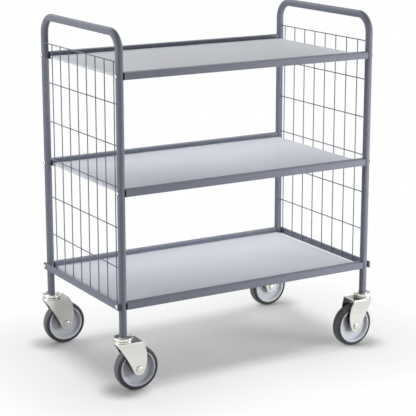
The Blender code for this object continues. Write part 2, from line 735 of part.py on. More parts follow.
def build_castors(finishes):
    head = castor_head_mesh()
    fork = fork_mesh()
    axle = axle_mesh()
    rim = rim_mesh()
    tyre = tyre_mesh()
    for corner, degrees in CASTOR_TURNS.items():
        row_name, side_name = corner.split("_")
        spot = (SIDES[side_name] * HALF_SPACING, ROWS[row_name] * HALF_WIDTH, 0)
        inward = 0.0 if side_name == "left" else math.pi
        place(f"castor_head_{corner}", head, finishes["zinc_steel"], spot)
        swivel = pivot(f"swivel_{corner}", spot, inward + math.radians(degrees))
        hub = (CASTOR_TRAIL, 0, WHEEL_RADIUS)
        place(f"fork_{corner}", fork, finishes["zinc_steel"], parent=swivel)
        place(f"axle_{corner}", axle, finishes["zinc_steel"], hub, parent=swivel)
        wheel = pivot(f"wheel_{corner}", hub, parent=swivel)
        place(f"rim_{corner}", rim, finishes["rim_plastic"], parent=wheel)
        place(f"tyre_{corner}", tyre, finishes["grey_rubber"], parent=wheel)


def main():
    clear_scene()
    finishes = make_materials()
    build_ends(finishes)
    build_shelves(finishes)
    build_fastenings(finishes)
    build_castors(finishes)


main()
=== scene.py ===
import json
import math

import bmesh
import bpy
import numpy as np
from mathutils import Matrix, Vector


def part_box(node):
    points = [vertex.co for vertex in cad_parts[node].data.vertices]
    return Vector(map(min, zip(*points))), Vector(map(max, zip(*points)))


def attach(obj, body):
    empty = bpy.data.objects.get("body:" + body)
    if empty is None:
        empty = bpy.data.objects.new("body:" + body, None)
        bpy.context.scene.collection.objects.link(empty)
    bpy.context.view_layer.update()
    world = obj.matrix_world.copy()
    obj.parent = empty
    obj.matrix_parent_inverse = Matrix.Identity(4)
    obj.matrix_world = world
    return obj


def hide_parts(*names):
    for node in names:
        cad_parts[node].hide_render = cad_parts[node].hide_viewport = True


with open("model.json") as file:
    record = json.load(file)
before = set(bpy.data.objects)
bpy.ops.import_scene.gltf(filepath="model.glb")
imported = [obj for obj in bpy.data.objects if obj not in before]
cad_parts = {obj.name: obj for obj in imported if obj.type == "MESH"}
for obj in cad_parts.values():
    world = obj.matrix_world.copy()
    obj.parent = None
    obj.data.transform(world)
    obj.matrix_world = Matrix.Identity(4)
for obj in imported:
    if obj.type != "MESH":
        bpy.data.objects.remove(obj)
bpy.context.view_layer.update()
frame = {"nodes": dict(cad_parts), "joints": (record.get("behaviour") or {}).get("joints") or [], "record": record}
print("frame loaded")

mm = 0.001
corners = ["front_left", "back_left", "front_right", "back_right"]
levels = ["bottom", "middle", "top"]
sides = {"left": -1, "right": 1}
rows = {"front": -1, "back": 1}
joints = {joint["name"]: joint for joint in frame["joints"]}


# Sizes that the frame already holds

tubeLow, tubeHigh = (np.array(corner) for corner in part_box("end_frame_right"))
barLow, barHigh = (np.array(corner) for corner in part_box("end_bar_right"))
tubeRadius = (tubeHigh[0] - tubeLow[0]) / 2
tubeX = (tubeHigh[0] + tubeLow[0]) / 2          # both end frames stand this far from the middle
tubeY = tubeHigh[1] - tubeRadius                # and the legs this far to the front and the back
tubeTop = tubeHigh[2] - tubeRadius
tubeFoot = tubeLow[2]


# Meshes

meshFinish = {
    "mergeDistance": 0.002 * mm,
    "sharp": 35,                # degrees, edges that turn by more stay sharp
    "bevelSegments": 2,
    "bevelAngle": 50,           # degrees
}


# A quadratic curve from start to end, B(t) = (1-t)^2 start + 2t(1-t) control + t^2 end.
def quadratic(start, control, end, t):
    return (1 - t) ** 2 * start + 2 * t * (1 - t) * control + t ** 2 * end


# A closed outline from corners (x, y, round): each corner is replaced by a quadratic curve that
# starts and ends a distance "round" from it, with the corner as its control point.
def roundedLoop(cornerList, steps=5):
    points = np.array([corner[:2] for corner in cornerList], float)
    rounds = np.array([corner[2] for corner in cornerList], float)[:, None]
    toLast = np.roll(points, 1, axis=0) - points
    toNext = np.roll(points, -1, axis=0) - points
    start = points + toLast / np.linalg.norm(toLast, axis=1, keepdims=True) * rounds
    end = points + toNext / np.linalg.norm(toNext, axis=1, keepdims=True) * rounds
    t = np.linspace(0, 1, steps + 1)[None, :, None]
    return quadratic(start[:, None], points[:, None], end[:, None], t).reshape(-1, 2)


# A grid of points (rows, columns, 3) as a shell: vertices and faces, with flat ends where asked.
def gridShell(points, closeRound=True, closeAlong=False, ends=True):
    count, around = points.shape[:2]
    index = np.arange(count * around).reshape(count, around)
    wrapped = np.concatenate([index, index[:, :1]], axis=1) if closeRound else index
    wrapped = np.concatenate([wrapped, wrapped[:1]], axis=0) if closeAlong else wrapped
    quads = np.stack([wrapped[:-1, :-1], wrapped[:-1, 1:], wrapped[1:, 1:], wrapped[1:, :-1]], axis=-1)
    faces = quads.reshape(-1, 4).tolist()
    if ends and not closeAlong:
        faces += [index[0][::-1].tolist(), index[-1].tolist()]
    return points.reshape(-1, 3), faces


# A closed profile (radius, height) turned about Z: x = r cos a, y = r sin a, z = height.
def turned(profile, around):
    angle = np.linspace(0, math.tau, around, endpoint=False)
    points = np.empty((len(profile), around, 3))
    points[..., 0] = profile[:, :1] * np.cos(angle)
    points[..., 1] = profile[:, :1] * np.sin(angle)
    points[..., 2] = profile[:, 1:]
    return gridShell(points, closeAlong=True)


# A straight round rod: a circle carried from start to end, drawn in at both ends by a share "edge"
# of its radius.
def rod(start, end, radius, around=12, edge=0.2):
    start, end = np.array(start, float), np.array(end, float)
    axis = (end - start) / np.linalg.norm(end - start)
    side = np.cross(axis, [0.0, 0.0, 1.0] if abs(axis[2]) < 0.9 else [1.0, 0.0, 0.0])
    side /= np.linalg.norm(side)
    other = np.cross(axis, side)
    angle = np.linspace(0, math.tau, around, endpoint=False)[:, None]
    ring = np.cos(angle) * side + np.sin(angle) * other
    inset = radius * edge
    stations = [(start, radius - inset), (start + axis * inset, radius), (end - axis * inset, radius),
                (end, radius - inset)]
    return gridShell(np.stack([spot + ring * size for spot, size in stations]))


# A blob: x, y, z = centre + half sizes times (cos b cos a, cos b sin a, sin b).
def blob(centre, halfSizes, around=8, up=6):
    a = np.linspace(0, math.tau, around, endpoint=False)[None, :]
    b = np.linspace(-math.pi / 2, math.pi / 2, up + 1)[:, None]
    unit = np.stack([np.cos(b) * np.cos(a), np.cos(b) * np.sin(a), np.sin(b) + 0 * a], axis=-1)
    return gridShell(np.asarray(centre) + unit * np.asarray(halfSizes), ends=False)


# A shell turned about Z by an angle, then moved.
def standing(shell, place, turn=0.0):
    points, faces = shell
    spin = np.array([[math.cos(turn), math.sin(turn), 0], [-math.sin(turn), math.cos(turn), 0], [0, 0, 1]])
    return points @ spin + np.asarray(place, float), faces


# The same shell with its axis laid over from Z to the given axis.
def laid(shell, axis):
    points, faces = shell
    order = {"x": [2, 0, 1], "y": [1, 2, 0]}[axis]
    return points[:, order], faces


# One piece from several closed shells: doubles merged, faces turned outward, shaded smooth with
# sharp edges kept, then put on its body and into its material slot.
def makePiece(name, shells, body, slot, replaced=(), sharp=meshFinish["sharp"], edge=0.0):
    vertices, faces, offset = [], [], 0
    for points, shellFaces in shells:
        vertices.append(points)
        faces += [[index + offset for index in face] for face in shellFaces]
        offset += len(points)
    mesh = bpy.data.meshes.new(name)
    mesh.from_pydata(np.concatenate(vertices).tolist(), [], faces)
    work = bmesh.new()
    work.from_mesh(mesh)
    bmesh.ops.remove_doubles(work, verts=work.verts, dist=meshFinish["mergeDistance"])
    bmesh.ops.recalc_face_normals(work, faces=work.faces)
    work.to_mesh(mesh)
    work.free()
    mesh.materials.append(finishes[slot])
    mesh.shade_smooth()
    mesh.set_sharp_from_angle(angle=math.radians(sharp))
    piece = bpy.data.objects.new(name, mesh)
    bpy.context.scene.collection.objects.link(piece)
    if edge:
        bevel = piece.modifiers.new("edge", "BEVEL")
        bevel.width = edge
        bevel.segments = meshFinish["bevelSegments"]
        bevel.limit_method = "ANGLE"
        bevel.angle_limit = math.radians(meshFinish["bevelAngle"])
    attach(piece, body)
    if replaced:
        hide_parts(*replaced)
    return piece


# Materials

# An sRGB hex colour as linear values, c/12.92 below 0.04045 and ((c+0.055)/1.055)^2.4 above.
def linear(hexCode):
    channels = [int(hexCode[start:start + 2], 16) / 255 for start in (1, 3, 5)]
    return (*[c / 12.92 if c <= 0.04045 else ((c + 0.055) / 1.055) ** 2.4 for c in channels], 1.0)


# Adds one node: settings go to its inputs where it has them and to its properties otherwise.
def addNode(tree, kind, settings=None, links=None):
    node = tree.nodes.new(kind)
    for key, value in (settings or {}).items():
        if isinstance(key, int) or key in node.inputs:
            node.inputs[key].default_value = value
        else:
            setattr(node, key, value)
    for key, source in (links or {}).items():
        tree.links.new(source, node.inputs[key])
    return node


# A new material with its Principled shader and Object coordinates.
def startMaterial(name, look):
    material = bpy.data.materials.new(name)
    material.use_nodes = True
    tree = material.node_tree
    shader = tree.nodes["Principled BSDF"]
    for key, value in look.items():
        shader.inputs[key].default_value = value
    place = addNode(tree, "ShaderNodeTexCoord").outputs["Object"]
    return material, tree, shader, place


# A colour that keeps a share of its brightness, where the share comes from a node.
def darkened(tree, colour, share):
    grey = addNode(tree, "ShaderNodeCombineColor", None, {index: share for index in range(3)})
    product = addNode(tree, "ShaderNodeMix", {"data_type": "RGBA", "blend_type": "MULTIPLY", 0: 1.0},
                      {6: colour, 7: grey.outputs["Color"]})
    return product.outputs[2]


# A colour darkened in recesses as painted shade: the share of open sky within the reach sets it
# between the recess share and full brightness.
def shadedInRecesses(tree, colour, finish):
    nearby = addNode(tree, "ShaderNodeAmbientOcclusion",
                     {"samples": finish["recessSamples"], "Distance": finish["recessReach"] * mm})
    closed, opened = finish["recessOpen"]
    share = addNode(tree, "ShaderNodeMapRange",
                    {"From Min": closed, "From Max": opened, "To Min": finish["recessShare"]},
                    {"Value": nearby.outputs["AO"]})
    return darkened(tree, colour, share.outputs["Result"])


# What the finishes share: a colour between the dark and the light value by a share, and where they are
# given, the roughness between its two values by the pattern and a relief from the height.
def coat(tree, shader, finish, pattern, share=None, height=None):
    if "roughness" in finish:
        low, high = finish["roughness"]
        gloss = addNode(tree, "ShaderNodeMapRange", {"To Min": low, "To Max": high}, {"Value": pattern})
        tree.links.new(gloss.outputs["Result"], shader.inputs["Roughness"])
    if "relief" in finish:
        strength, depth = finish["relief"]
        bump = addNode(tree, "ShaderNodeBump", {"Strength": strength, "Distance": depth * mm},
                       {"Height": height})
        tree.links.new(bump.outputs["Normal"], shader.inputs["Normal"])
    colours = {6: linear(finish["dark"]), 7: linear(finish["light"])}
    colour = addNode(tree, "ShaderNodeMix", {"data_type": "RGBA", **colours}, {0: share or pattern})
    return colour.outputs[2]


powderCoat = {
    "light": "#838795",
    "dark": "#7d818f",
    "mottleWidth": 5.0,     # mm, slight cloudiness of a sprayed coat
    "mottleRange": (0.35, 0.65),
    "peelWidth": 1.6,       # mm, orange peel
    "relief": (0.6, 0.02),  # strength, and depth in mm
    "roughness": (0.44, 0.54),
    "look": {"IOR": 1.5, "Specular IOR Level": 0.22},
}


# Powder coat baked on steel: an even satin grey with faint orange peel and soft highlights.
def makePowderCoat():
    material, tree, shader, place = startMaterial("bakedPowderCoat", powderCoat["look"])
    mottle = addNode(tree, "ShaderNodeTexNoise", {"Scale": 1 / (powderCoat["mottleWidth"] * mm), "Detail": 3.0},
                     {"Vector": place})
    pattern = mottle.outputs["Fac"]
    begin, full = powderCoat["mottleRange"]
    ramp = addNode(tree, "ShaderNodeMapRange", {"From Min": begin, "From Max": full}, {"Value": pattern})
    peel = addNode(tree, "ShaderNodeTexNoise", {"Scale": 1 / (powderCoat["peelWidth"] * mm), "Detail": 1.0},
                   {"Vector": place})
    colour = coat(tree, shader, powderCoat, pattern, ramp.outputs["Result"], peel.outputs["Fac"])
    tree.links.new(colour, shader.inputs["Base Color"])
    return material


laminate = {
    "light": "#e8eaf1",
    "dark": "#e2e6ec",
    "pearlWidth": 1.2,      # mm, pebbled press plate
    "mottleWidth": 30.0,    # mm, cloudiness of the printed paper
    "relief": (0.5, 0.015),
    "look": {"Roughness": 0.5, "IOR": 1.5, "Specular IOR Level": 0.12},
}


# Melamine laminate pressed on board: pale grey, satin, with a fine pebbled face.
def makeLaminate():
    material, tree, shader, place = startMaterial("pressedMelamineLaminate", laminate["look"])
    mottle = addNode(tree, "ShaderNodeTexNoise", {"Scale": 1 / (laminate["mottleWidth"] * mm), "Detail": 4.0},
                     {"Vector": place})
    pearl = addNode(tree, "ShaderNodeTexVoronoi",
                    {"Scale": 1 / (laminate["pearlWidth"] * mm), "feature": "SMOOTH_F1"}, {"Vector": place})
    colour = coat(tree, shader, laminate, mottle.outputs["Fac"], height=pearl.outputs["Distance"])
    tree.links.new(colour, shader.inputs["Base Color"])
    return material


zinc = {
    "light": "#e5e4df",
    "dark": "#dddcd7",
    "cloudWidth": 9.0,      # mm, clouding of the plating bath
    "grainWidth": 0.8,      # mm, grain of the rolled steel under the plate
    "relief": (0.4, 0.005),
    "roughness": (0.20, 0.28),
    "recessSamples": 12,
    "recessReach": 16.0,    # mm, how far the painted recess shade reaches
    "recessShare": 0.22,    # brightness left in the deepest recess
    "recessOpen": (0.3, 0.95),
    "levelShadeShare": 0.50,      # brightness left on level faces under painted shade
    "levelShadeRange": (0.80, 0.98),      # upward part of the normal where the painted shade begins and where it is full
    "look": {"Metallic": 1.0},
}


# Bright zinc plate on pressed steel: silvery with a warm cast, clouded, and softly mirroring, with
# painted shade in its recesses and on its upward faces.
def makeZinc():
    material, tree, shader, place = startMaterial("brightZincPlate", zinc["look"])
    cloud = addNode(tree, "ShaderNodeTexNoise", {"Scale": 1 / (zinc["cloudWidth"] * mm), "Detail": 4.0},
                    {"Vector": place})
    grain = addNode(tree, "ShaderNodeTexNoise", {"Scale": 1 / (zinc["grainWidth"] * mm)}, {"Vector": place})
    colour = coat(tree, shader, zinc, cloud.outputs["Fac"], height=grain.outputs["Fac"])
    # Painted shade: faces turned upward get a darker colour.
    normal = addNode(tree, "ShaderNodeNewGeometry").outputs["Normal"]
    facing = addNode(tree, "ShaderNodeSeparateXYZ", None, {0: normal})
    begin, full = zinc["levelShadeRange"]
    dustAndLevelShade = addNode(tree, "ShaderNodeMapRange",
                   {"From Min": begin, "From Max": full, "To Min": 1.0, "To Max": zinc["levelShadeShare"]},
                   {"Value": facing.outputs["Z"]})
    levelShaded = darkened(tree, colour, dustAndLevelShade.outputs["Result"])
    tree.links.new(shadedInRecesses(tree, levelShaded, zinc), shader.inputs["Base Color"])
    return material


rubber = {
    "light": "#303133",
    "dark": "#28292a",
    "treadLit": "#5f6163",      # painted light: a lighter grey on the tread, which faces the lamps
    "dustWidth": 12.0,      # mm
    "skinWidth": 0.9,       # mm
    "relief": (0.5, 0.02),
    "roughness": (0.45, 0.60),
    "look": {"IOR": 1.5},
}


# Moulded thermoplastic rubber: near black and satin on the sides, its skin slightly uneven from the
# mould, and painted a lighter matt grey on the tread as painted light, where the mesh's own painted-light value is
# 1.
def makeRubber():
    material, tree, shader, place = startMaterial("mouldedGreyRubber", rubber["look"])
    dustAndLevelShade = addNode(tree, "ShaderNodeTexNoise", {"Scale": 1 / (rubber["dustWidth"] * mm), "Detail": 5.0},
                   {"Vector": place})
    skin = addNode(tree, "ShaderNodeTexNoise", {"Scale": 1 / (rubber["skinWidth"] * mm)}, {"Vector": place})
    colour = coat(tree, shader, rubber, dustAndLevelShade.outputs["Fac"], height=skin.outputs["Fac"])
    treadLight = addNode(tree, "ShaderNodeAttribute", {"attribute_name": "treadLight"})
    litTread = addNode(tree, "ShaderNodeMix", {"data_type": "RGBA", 7: linear(rubber["treadLit"])},
                     {0: treadLight.outputs["Fac"], 6: colour})
    tree.links.new(litTread.outputs[2], shader.inputs["Base Color"])
    return material


rimPlastic = {
    "light": "#dadde4",
    "dark": "#d4d7e0",
    "flowWidth": 25.0,      # mm, faint flow marks of the mould
    "recessSamples": 12,
    "recessReach": 30.0,    # mm, how far the painted recess shade reaches
    "recessShare": 0.07,
    "recessOpen": (0.35, 0.88),
    "look": {"Roughness": 0.25, "IOR": 1.49, "Specular IOR Level": 0.3},
}


# Injection moulded polypropylene: pale blue grey with an even sheen, and painted shade in its recesses.
def makeRimPlastic():
    material, tree, shader, place = startMaterial("mouldedPolypropylene", rimPlastic["look"])
    flow = addNode(tree, "ShaderNodeTexNoise", {"Scale": 1 / (rimPlastic["flowWidth"] * mm), "Detail": 3.0},
                   {"Vector": place})
    colour = coat(tree, shader, rimPlastic, flow.outputs["Fac"])
    tree.links.new(shadedInRecesses(tree, colour, rimPlastic), shader.inputs["Base Color"])
    return material


blackPlastic = {
    "light": "#26282b",
    "dark": "#1c1e20",
    "grainWidth": 0.7,      # mm, spark eroded mould
    "relief": (0.5, 0.02),
    "look": {"Roughness": 0.5, "IOR": 1.5},
}


# Moulded polyethylene: black, matt, finely grained.
def makeBlackPlastic():
    material, tree, shader, place = startMaterial("mouldedBlackPolyethylene", blackPlastic["look"])
    grain = addNode(tree, "ShaderNodeTexNoise", {"Scale": 1 / (blackPlastic["grainWidth"] * mm)},
                    {"Vector": place})
    colour = coat(tree, shader, blackPlastic, grain.outputs["Fac"], height=grain.outputs["Fac"])
    tree.links.new(colour, shader.inputs["Base Color"])
    return material


finishes = {
    "grey_powder_coat": makePowderCoat(),
    "shelf_laminate": makeLaminate(),
    "black_plastic": makeBlackPlastic(),
    "zinc_steel": makeZinc(),
    "grey_rubber": makeRubber(),
    "rim_plastic": makeRimPlastic(),
}
slotOf = {entry["node"]: entry["material_slot"] for entry in frame["record"]["subparts"]}
for node, part in frame["nodes"].items():
    part.data.materials.clear()
    part.data.materials.append(finishes[slotOf[node]])
print("materials made")


# End frames

endFrame = {
    "bendRadius": 50 * mm,      # to the tube's centre line
    "around": 40,
    "bendSteps": 18,
}


# A circle carried along the leg, a quarter turn, the top bar, a quarter turn and the other leg:
# point = c(s) + r (cos a X + sin a n(s)), with n the bend's outward normal in the YZ plane.
def endTubeShell(x):
    bend = endFrame["bendRadius"]
    angle = np.linspace(0, math.pi / 2, endFrame["bendSteps"] + 1)
    bendY, bendZ = tubeY - bend, tubeTop - bend
    turn = np.concatenate([[0.0], angle, math.pi / 2 + angle, [math.pi]])
    centreY = np.where(turn < math.pi / 2, -bendY, bendY) - bend * np.cos(turn)
    centreY[len(angle)] = -bendY
    centreZ = bendZ + bend * np.sin(turn)
    centreZ[[0, -1]] = tubeFoot
    around = np.linspace(0, math.tau, endFrame["around"], endpoint=False)
    points = np.empty((len(turn), len(around), 3))
    points[..., 0] = x + tubeRadius * np.cos(around)
    points[..., 1] = centreY[:, None] - tubeRadius * np.sin(around) * np.cos(turn)[:, None]
    points[..., 2] = centreZ[:, None] + tubeRadius * np.sin(around) * np.sin(turn)[:, None]
    return gridShell(points)


for sideName, side in sides.items():
    makePiece(f"tube_{sideName}", [endTubeShell(side * tubeX)], "frame", "grey_powder_coat",
              [f"end_frame_{sideName}"])
print("end frames made")


# Wire mesh

wireMesh = {
    "diameter": 3.0 * mm,
    "offset": 7.2 * mm,         # uprights, outward from the tube centres
    "bite": 0.5 * mm,           # depth of the weld where wires cross
    "top": 903.4 * mm,
    "rowPitch": 111.3 * mm,
    "rows": 6,
    "columnPitch": 54.2 * mm,
    "columns": 8,
    "shift": 22.8 * mm,
    "foot": 234.7 * mm,
    "around": 14,
    "weld": (0.6, 1.15, 1.15),  # half sizes of the weld at a crossing, in wire radii
    "bead": (1.15, 0.9, 1.15),  # half sizes of the bead at a tube, in wire radii
    "beadSunk": 0.1,            # from the wire's end to the bead's centre, in wire radii
    "sharp": 60,                # degrees
}


# Straight rods on two crossing rows, with a flattened blob of weld at each crossing and a small
# bead where a level wire meets a tube.
def wireMeshShells(side):
    radius = wireMesh["diameter"] / 2
    uprightX = side * (tubeX + wireMesh["offset"])
    levelX = uprightX - side * (wireMesh["diameter"] - wireMesh["bite"])
    reach = tubeY - math.sqrt(tubeRadius ** 2 - (levelX - side * tubeX) ** 2)
    columns = (np.arange(wireMesh["columns"]) - (wireMesh["columns"] - 1) / 2) * wireMesh["columnPitch"]
    columns = side * (columns + wireMesh["shift"])
    heights = wireMesh["top"] - np.arange(wireMesh["rows"]) * wireMesh["rowPitch"]
    foot, head = wireMesh["foot"], wireMesh["top"] + radius
    around = wireMesh["around"]
    shells = [rod((levelX, -reach, z), (levelX, reach, z), radius, around) for z in heights]
    shells += [rod((uprightX, y, foot), (uprightX, y, head), radius, around) for y in columns]
    weld, bead = (np.array(wireMesh[kind]) * radius for kind in ("weld", "bead"))
    weldX = (uprightX + levelX) / 2
    shells += [blob((weldX, y, z), weld) for y in columns for z in heights]
    beadY = reach - wireMesh["beadSunk"] * radius
    shells += [blob((levelX, end * beadY, z), bead) for end in (-1, 1) for z in heights]
    return shells


for sideName, side in sides.items():
    makePiece(f"wires_{sideName}", wireMeshShells(side), "frame", "grey_powder_coat",
              [f"mesh_{sideName}"], sharp=wireMesh["sharp"])
print("wire meshes made")


# End bars and their caps

endBar = {
    "wall": 1.2 * mm,
    "round": 1.6 * mm,
    "capThick": 1.4 * mm,
    "capOver": 0.2 * mm,        # a cap stands this far proud of the bar all round
    "capRound": 0.8 * mm,
    "capCore": 8.0 * mm,        # how far a cap reaches into the bar
}


# A rectangle about its middle, with rounded corners.
def rectangle(width, height, corner):
    half, up = width / 2, height / 2
    return roundedLoop([(-half, -up, corner), (half, -up, corner), (half, up, corner), (-half, up, corner)])


# A profile in X and Z carried along Y: each station is (y, profile).
def alongY(stations, x, z, closeAlong=False):
    points = np.stack([np.column_stack([x + loop[:, 0], np.full(len(loop), y), z + loop[:, 1]])
                       for y, loop in stations])
    return gridShell(points, closeAlong=closeAlong)


barDeep, barTall = barHigh[0] - barLow[0], barHigh[2] - barLow[2]
barX, barZ = (barHigh[0] + barLow[0]) / 2, (barHigh[2] + barLow[2]) / 2
barReach = barHigh[1]
for sideName, side in sides.items():
    outer = rectangle(barDeep, barTall, endBar["round"])
    inner = rectangle(barDeep - 2 * endBar["wall"], barTall - 2 * endBar["wall"], endBar["round"] / 2)
    stations = [(-barReach, outer), (barReach, outer), (barReach, inner), (-barReach, inner)]
    tube = alongY(stations, side * barX, barZ, closeAlong=True)
    makePiece(f"bar_{sideName}", [tube], "frame", "grey_powder_coat", [f"end_bar_{sideName}"])
    over, capRound = endBar["capOver"], endBar["capRound"]
    faceY = barReach + endBar["capThick"]
    lip = rectangle(barDeep + 2 * over, barTall + 2 * over, endBar["round"] + over)
    face = rectangle(barDeep + 2 * over - capRound, barTall + 2 * over - capRound, endBar["round"])
    core = rectangle(barDeep - 2 * endBar["wall"] - 2 * over, barTall - 2 * endBar["wall"] - 2 * over,
                     endBar["round"] / 2)
    for rowName, row in rows.items():
        stations = [(row * (barReach - endBar["capCore"]), core), (row * barReach, core), (row * barReach, lip),
                    (row * (faceY - capRound / 2), lip), (row * faceY, face)]
        cap = alongY(stations, side * barX, barZ)
        makePiece(f"bar_cap_{sideName}_{rowName}", [cap], "frame", "black_plastic")
print("end bars made")


# Shelf rails

rail = {
    "round": 1.5 * mm,
    "wall": 1.5 * mm,
    "ledgeThick": 1.2 * mm,
    "ledgeLong": 10.0 * mm,
    "setback": 10.0 * mm,       # tube centre to the rail's end
    "clasp": 0.3 * mm,          # clearance of the hollow round the tube
    "across": 16,               # points over the depth, so that the hollow comes out round
}


# The rail's end in X for each point of its profile: square at the setback, and hollowed where the
# tube stands, x = sqrt(R^2 - y^2).
def railEnd(y):
    clearRadius = tubeRadius + rail["clasp"]
    hollow = np.sqrt(np.maximum(clearRadius ** 2 - y ** 2, 0))
    return tubeX - np.maximum(rail["setback"], hollow)


# Box with a ledge: an outer and an inner loop in Y and Z, their level stretches cut into short steps,
# each carried from one end to the other.
def railWalls(row, node):
    low, high = (np.array(corner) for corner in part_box(node))
    tall = high[2] - low[2]
    deep = (high[1] - low[1]) - rail["ledgeLong"]
    r, t = rail["round"], rail["wall"]
    ledge = rail["ledgeThick"]
    outer = [(0, 0, r), (deep + rail["ledgeLong"], 0, ledge / 3), (deep + rail["ledgeLong"], ledge, ledge / 3),
             (deep, ledge, ledge / 3), (deep, tall, r), (0, tall, r)]
    inner = [(t, t, r / 2), (deep - t, t, r / 2), (deep - t, tall - t, r / 2), (t, tall - t, r / 2)]
    outerLoop, innerLoop = (denseLoop(roundedLoop(loop), rail["across"]) for loop in (outer, inner))
    walls = []
    for loop in (outerLoop, innerLoop):
        depth = low[1] + loop[:, 0] if row < 0 else high[1] - loop[:, 0]
        end = railEnd(depth - row * tubeY)
        walls.append(np.stack([np.column_stack([sign * end, depth, low[2] + loop[:, 1]]) for sign in (-1, 1)]))
    return walls


# Extra points on the long stretches of a loop, so that none is longer than a part of its width.
def denseLoop(loop, parts):
    following = np.roll(loop, -1, axis=0)
    longest = np.ptp(loop[:, 0]) / parts
    steps = np.maximum(1, np.ceil(np.linalg.norm(following - loop, axis=1) / longest).astype(int))
    owner = np.repeat(np.arange(len(loop)), steps)
    share = (np.arange(len(owner)) - np.repeat(np.cumsum(steps) - steps, steps)) / steps[owner]
    return loop[owner] + share[:, None] * (following[owner] - loop[owner])


# Outer and inner walls, and end faces that join each outer point to the nearest inner one in turn.
def hollowShell(outerPoints, innerPoints):
    outerCount, innerCount = outerPoints.shape[1], innerPoints.shape[1]
    outerVertices, outerFaces = gridShell(outerPoints, ends=False)
    innerVertices, innerFaces = gridShell(innerPoints, ends=False)
    gap = np.linalg.norm(outerPoints[0][:, None, 1:] - innerPoints[0][None, :, 1:], axis=2)
    start = int(np.argmin(gap[0]))
    offset = len(outerVertices)
    faces = outerFaces + [[index + offset for index in face] for face in innerFaces]
    for end in (0, 1):
        outerFirst, innerFirst = end * outerCount, offset + end * innerCount
        i, j = 0, 0
        while i < outerCount or j < innerCount:
            here, nextOuter = i % outerCount, (i + 1) % outerCount
            inner, nextInner = (start + j) % innerCount, (start + j + 1) % innerCount
            stepOuter = j >= innerCount or (i < outerCount and gap[nextOuter, inner] <= gap[here, nextInner])
            third = outerFirst + nextOuter if stepOuter else innerFirst + nextInner
            faces.append([outerFirst + here, innerFirst + inner, third])
            i, j = (i + 1, j) if stepOuter else (i, j + 1)
    return np.concatenate([outerVertices, innerVertices]), faces


for level in levels:
    for rowName, row in rows.items():
        node = f"rail_{level}_{rowName}"
        makePiece(f"tray_{node}", [hollowShell(*railWalls(row, node))], "frame", "grey_powder_coat", [node])
print("rails made")


# Shelf panels

panel = {
    "edge": 0.7 * mm,           # rounded edge of the board
    "edgeSteps": 4,
    "sideSteps": 12,
    "sharp": 50,                # degrees
}


# Rings round a rectangle: each ring is the outline drawn in by an inset, at its own height, from the
# middle of the top over the rounded edge to the middle of the bottom.
def panelShell(node):
    low, high = (np.array(corner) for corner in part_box(node))
    middle, half = (low + high) / 2, (high - low) / 2
    angle = np.linspace(0, math.pi / 2, panel["edgeSteps"] + 1)
    edge = panel["edge"]
    inset = np.concatenate([[half[1], half[1] / 2], edge * (1 - np.sin(angle))])
    rise = np.concatenate([[half[2], half[2]], half[2] - edge * (1 - np.cos(angle))])
    inset, rise = np.concatenate([inset, inset[::-1]]), np.concatenate([rise, -rise[::-1]])
    t = np.linspace(-1, 1, panel["sideSteps"], endpoint=False)
    one = np.ones_like(t)
    outline = np.concatenate([np.column_stack(pair) for pair in ((t, -one), (one, t), (-t, one), (-one, -t))])
    points = np.empty((len(inset), len(outline), 3))
    points[..., 0] = middle[0] + outline[:, 0] * (half[0] - inset[:, None])
    points[..., 1] = middle[1] + outline[:, 1] * (half[1] - inset[:, None])
    points[..., 2] = middle[2] + rise[:, None]
    return gridShell(points, ends=False)


for level in levels:
    makePiece(f"board_{level}", [panelShell(f"panel_{level}")], "frame", "shelf_laminate",
              [f"panel_{level}"], sharp=panel["sharp"])
print("panels made")


# Bolts

bolt = {
    "headRadius": 5.5 * mm,
    "headTall": 3.1 * mm,
    "domeFrom": 0.18,           # share of the head's height where its dome begins
    "domeTop": 0.42,            # square of the dome's radius at the top, as a share
    "domeSteps": 8,
    "socketWide": 4.0 * mm,     # across the flats
    "socketDeep": 1.9 * mm,
    "socketPoint": 0.4 * mm,    # the drill's point below the socket's floor
    "socketEdge": 0.2 * mm,
    "shankRadius": 3.0 * mm,
    "around": 48,
    "sharp": 40,                # degrees
}


# A button head, its socket and its shank turned about X. The socket's radius follows a hexagon,
# r = flat / cos(a mod 60 degrees - 30 degrees), and the dome's falls as r^2 = R^2 (1 - (1-top) c^2).
def boltShell(node, side):
    low, high = (np.array(corner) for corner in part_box(node))
    tall, wide, shank = bolt["headTall"], bolt["headRadius"], bolt["shankRadius"]
    tip = tall - (high[0] - low[0])
    crown = np.linspace(0, 1, bolt["domeSteps"] + 1)
    domeRadius = wide * np.sqrt(1 - (1 - bolt["domeTop"]) * crown ** 2)
    domeHeight = tall * (bolt["domeFrom"] + (1 - bolt["domeFrom"]) * crown)
    angle = np.linspace(0, math.tau, bolt["around"], endpoint=False)
    hexagon = bolt["socketWide"] / 2 / np.cos(angle % (math.pi / 3) - math.pi / 6)
    socketFloor, edge = tall - bolt["socketDeep"], bolt["socketEdge"]
    rings = [(0, socketFloor - bolt["socketPoint"]), (hexagon, socketFloor), (hexagon, tall - edge),
             (hexagon + edge, tall), *zip(domeRadius[::-1], domeHeight[::-1]),
             (wide, 0.0), (shank, 0.0), (shank, tip), (0, tip)]
    points = np.stack([np.column_stack([r * np.cos(angle), r * np.sin(angle), np.full(len(angle), z)])
                       for r, z in rings])
    points, faces = laid(gridShell(points, ends=False), "x")
    seat = high[0] - tall if side > 0 else low[0] + tall
    return standing((points * [side, 1, 1], faces), (seat, (low[1] + high[1]) / 2, (low[2] + high[2]) / 2))


for level in levels:
    for rowName in rows:
        for sideName, side in sides.items():
            node = f"bolt_{level}_{rowName}_{sideName}"
            makePiece(f"button_{node}", [boltShell(node, side)], "frame", "zinc_steel", [node],
                      sharp=bolt["sharp"])
print("bolts made")


# Castors

